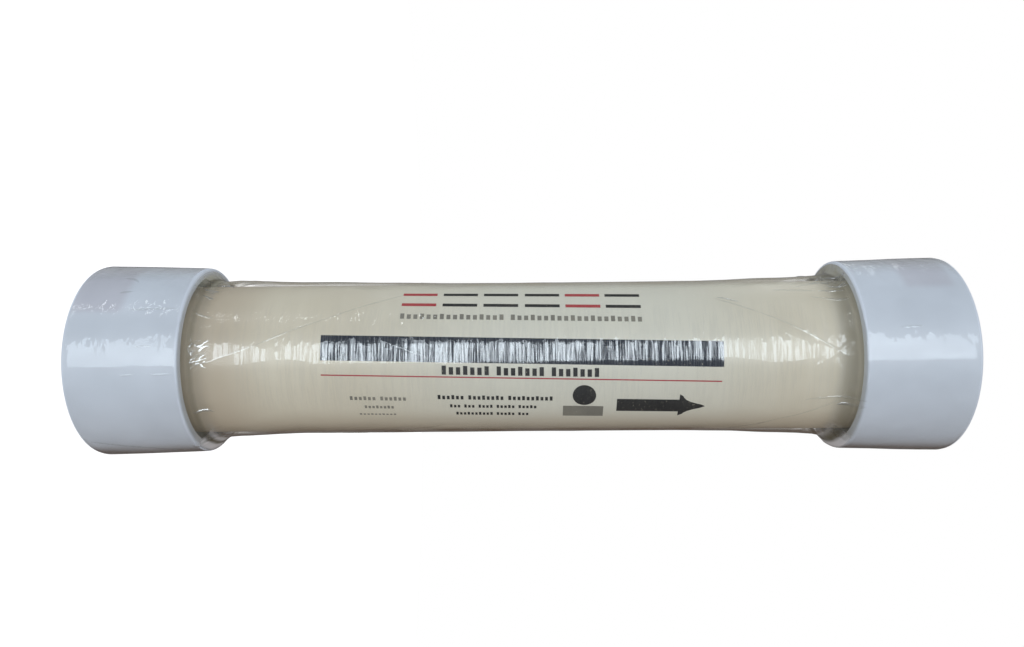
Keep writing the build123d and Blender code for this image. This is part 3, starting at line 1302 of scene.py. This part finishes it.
@dataclass
class StretchWrap:
    """Clear film drawn over both caps and the shell, with tension folds at the cap mouths."""

    cap_radius: float
    shell_radius: float
    height: float
    sides: int = 300
    folds_per_end: int = 30
    ripple_count: int = 26
    ripple_mm: float = 0.025
    back_folds: int = 46
    front_crinkles: int = 16
    mouth_mm: float = 70.0
    mean_radius_mm: float = 51.0
    clearance_mm: float = 0.35
    most_over_cap_mm: float = 0.68
    seed: int = 4021
    stations_mm: np.ndarray = field(init=False)
    radii_mm: np.ndarray = field(init=False)

    @property
    def total_mm(self) -> float:
        """Returns the whole height of the element in millimetres."""
        return self.height / MM

    def outline(self) -> list[Point]:
        """States the film's outline before folds.

        Returns:
            Its (height, radius) points in millimetres.
        """
        return [
            (1.6, 63.6), (3.0, 63.85), (15, 63.6), (28, 63.35), (45, 62.75), (64, 62.15), (68.6, 61.9),
            (70.3, 61.2), (72, 59.2), (74.5, 56.8), (78, 54.2), (82, 52.6), (90, 52.0), (100, 51.6),
            (116, 50.9), (132, 50.5), (200, 50.2), (271, 50.0), (328, 49.9), (352, 49.9), (393, 50.0),
            (417, 50.7), (434, 51.5), (450, 52.0), (462, 52.4), (472, 53.0), (478, 54.2), (481.5, 56.6),
            (484, 59.4), (485.6, 61.3), (487.6, 62.2), (492, 62.4), (509, 62.8), (526, 63.45),
            (539, 63.75), (551, 63.87), (552.4, 63.6),
        ]

    def heights(self) -> np.ndarray:
        """Works out the heights of the film's rings, closer together at the mouths.

        Returns:
            The heights in millimetres.
        """
        low = np.concatenate([
            [1.6, 3.0, 6.0], np.arange(10, 60, 5.0), np.arange(60, 112, 0.85), np.arange(112, 150, 1.9),
        ])
        middle = np.arange(150, self.total_mm / 2, 3.4)
        half = np.concatenate([low, middle])
        return np.concatenate([half, (self.total_mm - half)[::-1]])

    def floor_radius(self, heights: np.ndarray) -> np.ndarray:
        """Works out the lowest radius that clears what lies under the film.

        Args:
            heights: Heights in millimetres.

        Returns:
            The radius at each height, in millimetres.
        """
        feed_cap = [(0, 63.5), (28, 63.0), (68.4, 61.95), (70.0, 60.8), (70.9, 58.0), (71.2, 50.0)]
        brine_cap = [(0, 63.6), (28, 63.2), (65.8, 62.3), (67.4, 61.2), (68.3, 58.0), (68.6, 50.0)]
        low = np.interp(heights, *zip(*feed_cap))
        high = np.interp(self.total_mm - heights, *zip(*brine_cap))
        return np.maximum(np.maximum(low, high), self.shell_radius / MM + self.clearance_mm)

    def folds(self, heights: np.ndarray, turns: np.ndarray) -> np.ndarray:
        """Works out the tension folds at both mouths.

        Args:
            heights: Heights in millimetres.
            turns: Angles in radians.

        Returns:
            Their relief in millimetres.
        """
        dice = random.Random(self.seed)
        start, length, full = self.mouth_mm - 4, 6, self.mouth_mm + 4
        out = np.zeros(np.broadcast_shapes(heights.shape, turns.shape))
        for upper in (False, True):
            near = (self.total_mm - heights) if upper else heights
            arriving = np.clip((near - start) / length, 0, 1)
            for _ in range(self.folds_per_end):
                middle = dice.uniform(0, 2 * math.pi)
                slant = math.radians(dice.uniform(-0.9, 0.9))
                width = math.radians(dice.uniform(0.9, 2.6))
                tall = dice.choice((0.2, 0.35, 0.55, -0.3)) * dice.uniform(0.6, 1.2)
                reach = dice.uniform(9, 34)
                line = middle + slant * (near - self.mouth_mm)
                offset = (turns - line + math.pi) % (2 * math.pi) - math.pi
                along = arriving * np.exp(-(np.clip(near - full, 0, None) / reach) ** 2)
                out = out + tall * along * np.exp(-((offset / width) ** 2))
        return out

    def slack(self, heights: np.ndarray, turns: np.ndarray) -> np.ndarray:
        """Works out the film's broad unevenness, as a sum of seeded ripples.

        Args:
            heights: Heights in millimetres.
            turns: Angles in radians.

        Returns:
            Its relief in millimetres.
        """
        dice = random.Random(self.seed + 7)
        out = np.zeros(np.broadcast_shapes(heights.shape, turns.shape))
        for _ in range(self.ripple_count):
            rounds = dice.randint(1, 22)
            pace = dice.uniform(-0.16, 0.16)
            out = out + self.ripple_mm * np.cos(rounds * turns + pace * heights + dice.uniform(0, 6.28))
        return out

    def doubled(self, heights: np.ndarray, turns: np.ndarray) -> np.ndarray:
        """Works out where a second layer of film lies.

        Args:
            heights: Heights in millimetres.
            turns: Angles in radians.

        Returns:
            The share of the second layer at each point.
        """
        degrees = np.degrees(turns)
        left = eased(heights, 34, 31) * eased(degrees, 28, 33) * eased(degrees, 84, 78)
        right = eased(heights, 514, 519) * eased(heights, 547, 543)
        right = right * eased(degrees, 40, 46) * eased(degrees, 88, 80)
        tail = eased(degrees + 0.35 * heights, -58, -64) * eased(degrees, -172, -130)
        tail = tail * eased(heights, 60, 30)
        back = eased(heights, 30, 27) * eased(np.abs((degrees + 330) % 360 - 180), 40, 36)
        return np.clip(left + 0.9 * right + 0.8 * tail + 0.7 * back, 0, 1)

    def bunched_shade(self, heights: np.ndarray) -> np.ndarray:
        """Works out how tightly the film is bunched at the cap mouths, which also places the painted shade
        of its veil there.

        Args:
            heights: Heights in millimetres.

        Returns:
            A share at each height, 1 at the cap mouths and 0 away from them.
        """
        low = eased(heights, 69.5, 71.5) * eased(heights, 84, 76)
        high = eased(heights, 488, 486) * eased(heights, 470, 479)
        return low + high

    def foot_shade(self, heights: np.ndarray) -> np.ndarray:
        """Works out where the bunched film meets the shell, which places a dark veil of painted shade.

        Args:
            heights: Heights in millimetres.

        Returns:
            A share at each height, 1 at the film's foot and 0 away from it.
        """
        low = eased(heights, 73.2, 75) * eased(heights, 78.5, 75.5)
        high = eased(heights, 484, 481.8) * eased(heights, 470, 481)
        return low + high

    def lifted(self, heights: np.ndarray, turns: np.ndarray) -> np.ndarray:
        """Returns in millimetres how far the film stands off the shell at picture up, near the feed end."""
        window = eased(heights, 76, 92) * eased(heights, 250, 150)
        return 1.5 * window * np.exp(-((np.degrees(turns) - 90) / 38) ** 2)

    def drawn(self, heights: np.ndarray, turns: np.ndarray) -> np.ndarray:
        """Works out how much nearer to its caps the film comes down at picture up.

        Args:
            heights: Heights in millimetres.
            turns: Angles in radians.

        Returns:
            The shift along Z in millimetres.
        """
        low = eased(heights, 64, 69) * eased(heights, 112, 92)
        high = eased(heights, 490, 486) * eased(heights, 440, 462)
        return np.exp(-((np.degrees(turns) - 100) / 58) ** 2) * (3.2 * low - 5.5 * high)

    def radius_at(self, height: float, turn: float) -> float:
        """Reads the film's radius.

        Args:
            height: Height in millimetres.
            turn: Angle in radians.

        Returns:
            The radius in millimetres.
        """
        place = (turn / (2 * math.pi) % 1.0) * self.sides
        side = int(place) % self.sides
        after, share = (side + 1) % self.sides, place - int(place)
        column = self.radii_mm[:, side] * (1 - share) + self.radii_mm[:, after] * share
        return float(np.interp(height, self.stations_mm, column))

    def sleeve(self) -> bpy.types.Object:
        """Makes the film itself as one open sheet.

        Returns:
            The sleeve as an object. Its attributes "doubled", "gathered" and "rooted" say where it has
            a second layer, where it is bunched and where it meets the shell.
        """
        heights = self.heights()
        known = self.outline()
        turns = (np.arange(self.sides) * 2 * math.pi / self.sides)[None, :]
        signed = (turns + math.pi) % (2 * math.pi) - math.pi
        rows = heights[:, None]
        base = np.interp(rows + self.drawn(rows, signed), [h for h, _ in known], [r for _, r in known])
        on_shell = np.clip((np.minimum(rows, self.total_mm - rows) - 60) / 25, 0.25, 1)
        radii = base + self.folds(rows, turns) + self.slack(rows, turns) * on_shell
        radii = radii + self.lifted(rows, signed)
        highest = self.cap_radius / MM + self.most_over_cap_mm
        radii = np.clip(radii, self.floor_radius(heights)[:, None], highest)
        self.stations_mm, self.radii_mm = heights, radii
        x, y = -radii * np.sin(turns), -radii * np.cos(turns)
        z = np.broadcast_to(rows, radii.shape)
        points = np.stack([x, y, z], -1).reshape(-1, 3) * MM
        count, sides = len(heights), self.sides
        low = np.arange((count - 1) * sides).reshape(count - 1, sides)
        after = np.roll(low, -1, axis=1)
        faces = np.stack([low, low + sides, after + sides, after], -1).reshape(-1, 4)
        film = made_mesh("film_sleeve", points.tolist(), faces.tolist(), 180.0)
        layers = {
            "doubled": self.doubled(rows, signed),
            "bunched_shade": self.bunched_shade(rows),
            "foot_shade": self.foot_shade(rows),
        }
        for name, values in layers.items():
            spread = np.broadcast_to(values, radii.shape).astype(np.float32)
            film.data.attributes.new(name, "FLOAT", "POINT").data.foreach_set("value", spread.ravel())
        return film

    def crease(self, fold: Crease) -> bpy.types.Object:
        """Makes one raised fold that lies on the sleeve.

        Args:
            fold: Where it runs and how large it is.

        Returns:
            The fold as an object.
        """
        (h0, d0), (h1, d1) = fold.start, fold.end
        arc = math.radians(d1 - d0) * self.mean_radius_mm
        length = math.hypot(h1 - h0, arc)
        steps = max(8, int(length / 1.2))
        across = (-1.0, -0.55, 0.0, 0.55, 1.0)
        run = Vector((h1 - h0, arc)).normalized()
        points = []
        for step in range(steps + 1):
            share = step / steps
            ends = min(1.0, 4 * share, 4 * (1 - share))
            swing = fold.bow * math.sin(math.pi * share)
            for offset in across:
                aside = offset * fold.half_width * (0.35 + 0.65 * ends) + swing
                height = h0 + (h1 - h0) * share - run.y * aside
                turn = math.radians(d0 + (d1 - d0) * share) + run.x * aside / self.mean_radius_mm
                lift = 0.06 + fold.rise * ends * (1 - offset * offset) ** 1.5
                points.append(on_cylinder((self.radius_at(height, turn) + lift) * MM, turn, height * MM))
        faces = []
        wide = len(across)
        for step in range(steps):
            for n in range(wide - 1):
                a = step * wide + n
                faces.append((a, a + 1, a + wide + 1, a + wide))
        return made_mesh("fold", points, faces, 180.0)

    def seen_folds(self) -> list[Crease]:
        """States the folds and film edges on the side that faces the camera.

        Returns:
            The folds.
        """
        return [
            Crease((82, -1), (115, 12), 0.6, 0.07), Crease((115, 12), (157, 31.5), 0.6, 0.08, 0.6),
            Crease((157, 31.5), (205, 55), 0.5, 0.1), Crease((192, 15), (222, 2), 0.5, 0.08),
            Crease((402, 48), (428, 33), 0.6, 0.16), Crease((428, 33), (478, 1), 0.6, 0.09, 1.2),
            Crease((413, -66), (440, -50), 0.7, 0.2), Crease((440, -50), (480, -26), 0.6, 0.14, -1.0),
            Crease((76, 55), (86, 58), 0.7, 0.4), Crease((76, 34), (86, 32), 0.7, 0.35),
            Crease((76, 12), (82, 15), 0.7, 0.4, 0.8), Crease((75, 8), (80, 4), 0.6, 0.4, -0.6),
            Crease((77, 3), (84, 7), 0.7, 0.4), Crease((76, -4), (80, 1), 0.6, 0.35),
            Crease((74, -34), (86, -37), 0.9, 0.6, 0.8), Crease((78, -62), (104, -66), 0.9, 0.6),
            Crease((452, 66), (478, 75), 0.9, 0.6), Crease((455, 58), (480, 62), 0.9, 0.6, 1.2),
            Crease((440, 55), (466, 52), 0.8, 0.45), Crease((462, 46), (483, 40), 0.8, 0.5),
            Crease((455, -30), (488, -25), 0.8, 0.4), Crease((476, -33), (488, -29), 1.0, 0.5),
            Crease((38, 31.5), (66, 33), 0.5, 0.16), Crease((28, 44), (36, 45), 0.7, 0.25),
            Crease((26, 58), (36, 54), 0.8, 0.25, 0.8), Crease((45, 9.5), (54, 10), 0.5, 0.16),
            Crease((36, -6.5), (44, -6), 0.5, 0.16), Crease((55, -6), (66, -6), 0.5, 0.16),
            Crease((5, -52), (58, -68), 0.7, 0.25), Crease((507, 17), (520, 17.5), 0.5, 0.16),
        ]

    def curls(self) -> list[Crease]:
        """States the small crinkles that catch the light at the mouths. Those at the front are seeded.

        Returns:
            The crinkles.
        """
        dice = random.Random(self.seed + 3)
        out = [
            Crease((404, 49), (416, 44), 0.7, 0.35), Crease((465, 63), (477, 60), 0.8, 0.6, 0.6),
            Crease((474, 70), (486, 63), 0.9, 0.7, 1.2), Crease((475, 57), (485, 52), 0.8, 0.6, -0.8),
            Crease((479, 54), (485, 55), 0.7, 0.5), Crease((468, 52), (482, 49), 0.6, 0.45, 0.5),
            Crease((75, 57), (84, 58), 0.8, 0.5, 0.5), Crease((76, 51), (83, 49), 0.7, 0.5),
            Crease((80, 68), (92, 64), 0.8, 0.5, 0.8), Crease((96, 70), (122, 68), 0.7, 0.35, 0.6),
            Crease((75, -35), (84, -36), 0.8, 0.6, 0.8), Crease((474, -33), (481, -31), 0.8, 0.5),
        ]
        for _ in range(self.front_crinkles):
            height, turn = dice.uniform(75.5, 84), dice.uniform(-2, 15)
            end = (height + dice.uniform(1.5, 5), turn + dice.uniform(-4, 4))
            shape = (dice.uniform(0.5, 0.8), dice.uniform(0.08, 0.2), dice.uniform(-1, 1))
            out.append(Crease((height, turn), end, *shape))
        return out

    def other_folds(self) -> list[Crease]:
        """Makes seeded folds round the sides that the camera doesn't see.

        Returns:
            The folds.
        """
        dice = random.Random(self.seed + 21)
        out = []
        for _ in range(self.back_folds):
            turn = dice.uniform(95, 265)
            near = dice.uniform(73, 92)
            length = dice.uniform(8, 30)
            lean = dice.uniform(-14, 14)
            upper = dice.random() < 0.5
            first, last = (near, turn), (near + length, turn + lean)
            if upper:
                high = self.total_mm - near
                first, last = (high, turn), (high - length, turn + lean)
            shape = (dice.uniform(0.6, 1.1), dice.uniform(0.25, 0.6), dice.uniform(-1, 1))
            out.append(Crease(first, last, *shape))
        for start in (150, 205, 250):
            out.append(Crease((110, start), (230, start + 52), 0.7, 0.22, 1.5))
            out.append(Crease((330, start + 10), (455, start - 44), 0.7, 0.22, -1.5))
        return out

    def build(
        self, film: bpy.types.Material, fold: bpy.types.Material, crinkle: bpy.types.Material,
    ) -> None:
        """Builds and dresses the film.

        Args:
            film: Material of the sleeve.
            fold: Material of its raised folds.
            crinkle: Material of the crinkles at the mouths.
        """
        dress(self.sleeve(), film, Slot.FILM, "stretch_film")
        folds = joined("film_folds", [self.crease(one) for one in self.seen_folds() + self.other_folds()])
        dress(folds, fold, Slot.FILM)
        dress(joined("film_crinkles", [self.crease(one) for one in self.curls()]), crinkle, Slot.FILM)


@dataclass
class InnerParts:
    """CAD nodes that keep their own shape and only take a finish."""

    disc: MouldedPlastic = MouldedPlastic(
        "disc_black", (0.05, 0.05, 0.053), roughness=0.48, mottle=0.12, grain_mm=0.9, depth_mm=0.012,
    )
    rubber: SoftRubber = SoftRubber("seal_black_rubber")
    tube: ExtrudedTube = ExtrudedTube("tube_off_white")
    leaf: WovenSheet = WovenSheet("leaf_woven")
    spacer: FeedNet = FeedNet("spacer_diamond_net")

    def build(self) -> None:
        """Gives each inner node its finish."""
        looks = {
            "feed_end_disc": self.disc, "brine_end_disc": self.disc, "brine_seal": self.rubber,
            "permeate_tube": self.tube, "membrane_leaf": self.leaf, "feed_spacer": self.spacer,
        }
        made: dict[str, bpy.types.Material] = {}
        for name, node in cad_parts.items():
            for start, finish in looks.items():
                if not name.startswith(start):
                    continue
                if finish.name not in made:
                    made[finish.name] = finish.material()
                for slot in node.material_slots:
                    slot.material = made[finish.name]
                LOG.info("%s: keeps its CAD shape, finish %s", name, finish.name)


@dataclass(frozen=True)
class StripLamp:
    """A strip lamp parallel to the element and turned to its axis, at rise_deg from -Y towards -X."""

    name: str
    rise_deg: float
    middle: float
    length: float
    width: float
    strength: float
    colour: Colour
    use: LampUse
    distance: float = 1.5

    def hang(self) -> None:
        """Adds the lamp to the scene."""
        data = bpy.data.lights.new(self.name, "AREA")
        data.shape = "RECTANGLE"
        data.size, data.size_y = self.width, self.length
        data.energy = self.strength * self.width * self.length * 4
        data.color = self.colour
        lamp = bpy.data.objects.new(self.name, data)
        rise = math.radians(self.rise_deg)
        back = Vector((-math.sin(rise), -math.cos(rise), 0))
        along = Vector((0, 0, 1))
        turn = Matrix((along.cross(back), along, back)).transposed().to_4x4()
        lamp.matrix_world = Matrix.Translation(back * self.distance + along * self.middle) @ turn
        lamp.visible_camera = False
        lamp.visible_diffuse = self.use is LampUse.LIGHT
        lamp.visible_glossy = self.use is LampUse.GLOSS
        bpy.context.scene.collection.objects.link(lamp)


@dataclass
class Studio:
    """Camera, lights, white surround and floor."""

    camera_at_mm: tuple[float, float, float] = (-22.5, -550.3, 284.6)
    roll_deg: float = 0.52
    yaw_deg: float = -1.2
    focal_px: float = 812.0
    picture_px: int = 1024
    sensor_mm: float = 36.0
    gloss_surround: float = 0.4
    floor_drop: float = 0.4 * MM
    lamps: tuple[StripLamp, ...] = (
        StripLamp("front_soft_light", rise_deg=14, middle=0.28, length=2.6, width=1.1, strength=0.4,
                  colour=(0.93, 0.98, 1.0), use=LampUse.LIGHT),
        StripLamp("window_strip", rise_deg=9.4, middle=0.28, length=2.5, width=0.74, strength=3.4,
                  colour=(0.88, 0.95, 1.0), use=LampUse.GLOSS),
        StripLamp("ceiling_strip", rise_deg=64.8, middle=-1.1, length=1.7, width=0.07, strength=5.5,
                  colour=(0.97, 1.0, 1.0), use=LampUse.GLOSS),
        StripLamp("back_strip", rise_deg=124, middle=0.92, length=0.14, width=0.8, strength=1.3,
                  colour=(0.97, 1.0, 1.0), use=LampUse.GLOSS),
    )

    def camera(self) -> None:
        """Sets the camera: it looks along +Y, with picture right along +Z."""
        data = bpy.data.cameras.new("photo_camera")
        data.sensor_width = self.sensor_mm
        data.sensor_fit = "HORIZONTAL"
        data.lens = self.focal_px / self.picture_px * self.sensor_mm
        data.clip_start, data.clip_end = 0.01, 50
        camera = bpy.data.objects.new("photo_camera", data)
        roll, yaw = math.radians(self.roll_deg), math.radians(self.yaw_deg)
        right, up, ahead = Vector((0, 0, 1)), Vector((-1, 0, 0)), Vector((0, 1, 0))
        cos, sin = math.cos(yaw), math.sin(yaw)
        right, ahead = right * cos - ahead * sin, right * sin + ahead * cos
        cos, sin = math.cos(roll), math.sin(roll)
        right, up = right * cos - up * sin, right * sin + up * cos
        turn = Matrix((right, up, -ahead)).transposed().to_4x4()
        camera.matrix_world = Matrix.Translation(Vector(self.camera_at_mm) * MM) @ turn
        bpy.context.scene.collection.objects.link(camera)
        bpy.context.scene.camera = camera

    def surround(self) -> None:
        """Sets the world: white where the camera sees it, and a soft uneven light for the element."""
        world = bpy.data.worlds.new("studio_surround")
        bpy.context.scene.world = world
        sheet = NodeSheet(world)
        way = sheet.add("ShaderNodeTexCoord").outputs["Generated"]
        x, y, _ = sheet.parts(way)
        turn = sheet.maths("ARCTAN2", x, y)
        ramp = sheet.add("ShaderNodeValToRGB", {0: sheet.share_of(turn, -math.pi, math.pi)})
        stops = [
            (0.0, (0.56, 0.61, 0.68)), (0.25, (0.60, 0.64, 0.69)), (0.42, (0.60, 0.61, 0.63)),
            (0.5, (0.46, 0.44, 0.43)), (0.57, (0.10, 0.075, 0.06)), (0.66, (0.13, 0.10, 0.08)),
            (0.76, (0.37, 0.315, 0.275)), (0.86, (0.60, 0.62, 0.655)), (1.0, (0.56, 0.61, 0.68)),
        ]
        band = ramp.color_ramp
        band.interpolation = "B_SPLINE"
        while len(band.elements) > 1:
            band.elements.remove(band.elements[-1])
        band.elements[0].position = stops[0][0]
        band.elements[0].color = (*stops[0][1], 1)
        for at, colour in stops[1:]:
            band.elements.new(at).color = (*colour, 1)
        path = sheet.add("ShaderNodeLightPath")
        dimmer = sheet.between(path.outputs["Is Glossy Ray"], 1.0, self.gloss_surround)
        white = sheet.add("ShaderNodeBackground", {"Color": (1.0, 1.0, 1.0), "Strength": 1.0})
        soft = sheet.add("ShaderNodeBackground", {"Color": ramp.outputs[0], "Strength": dimmer})
        seen = path.outputs["Is Camera Ray"]
        both = sheet.add("ShaderNodeMixShader", {0: seen, 1: soft.outputs[0], 2: white.outputs[0]})
        sheet.add("ShaderNodeOutputWorld", {"Surface": both.outputs[0]})

    def floor(self) -> None:
        """Adds the pale floor under the element."""
        floor = turned("studio_floor", [(radius, -self.floor_drop) for radius in (0.0, 0.2, 1.6)], 96)
        floor.data.materials.append(PaleFloor("studio_pale").material())
        floor.visible_glossy = False
        floor.visible_diffuse = False
        floor.visible_shadow = False
        floor.visible_transmission = False

    def build(self) -> None:
        """Sets up the whole studio."""
        self.camera()
        self.surround()
        self.floor()
        for lamp in self.lamps:
            lamp.hang()
        view = bpy.context.scene.view_settings
        view.view_transform = "Standard"
        view.look = "None"
        view.exposure = 0.0
        view.gamma = 1.0


def main() -> None:
    """Builds the element's looks in order, from the studio to the film."""
    logging.basicConfig(level=logging.INFO, format="%(name)s: %(message)s")
    Studio().build()
    shell_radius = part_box("frp_shell")[1].x
    cap_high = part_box("feed_end_cap")[1]
    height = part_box("brine_end_cap")[1].z
    cap_white = MouldedPlastic("cap_white", (0.755, 0.805, 0.875)).material()
    EndCap(End.FEED).build(cap_white)
    EndCap(
        End.BRINE, length=67.6 * MM, base_radius=63.5 * MM, middle_radius=63.1 * MM, mouth_radius=62.1 * MM,
        rib_grip=49.6 * MM,
    ).build(cap_white)
    # The shell's paler middle tone is painted light and its darkest tone is painted shade.
    cream = WoundFibreglass(
        "shell_cream", pale=(0.86, 0.79, 0.63), deep=(0.80, 0.725, 0.565), lean=(0.845, 0.83, 0.715),
        painted_shade_tone=(0.665, 0.57, 0.43),
    )
    WoundShell().build(cream.material())
    ground = (0.66, 0.6, 0.46)
    inks = {
        "navy": PrintedInk(
            "ink_navy", (0.012, 0.018, 0.032), ground, cover=0.995, roughness=0.4, shine=0.15,
        ),
        "black": PrintedInk("ink_black", (0.03, 0.03, 0.03), ground, cover=0.97),
        "red": PrintedInk("ink_red", (0.52, 0.06, 0.07), ground, cover=0.95),
        "grey": PrintedInk("ink_grey", (0.22, 0.21, 0.18), ground, cover=0.8),
    }
    Print(shell_radius).build({name: ink.material() for name, ink in inks.items()})
    InnerParts().build()
    film = ClearFilm("film_clear")
    fold = ClearFilm(
        "film_fold", streaks=False, streak_gloss=1.9, roughness=0.12, haze=0.02, bunched_shade_share=0.0,
        edge_haze=0.1, shell_edge_haze=0.1, underside_shade_share=0.0,
    )
    crinkle = replace(fold, name="film_crinkle", streak_gloss=5.5, roughness=0.09)
    wrap = StretchWrap(cap_high.x, shell_radius, height)
    wrap.build(film.material(), fold.material(), crinkle.material())


if __name__ == "__main__":
    main()
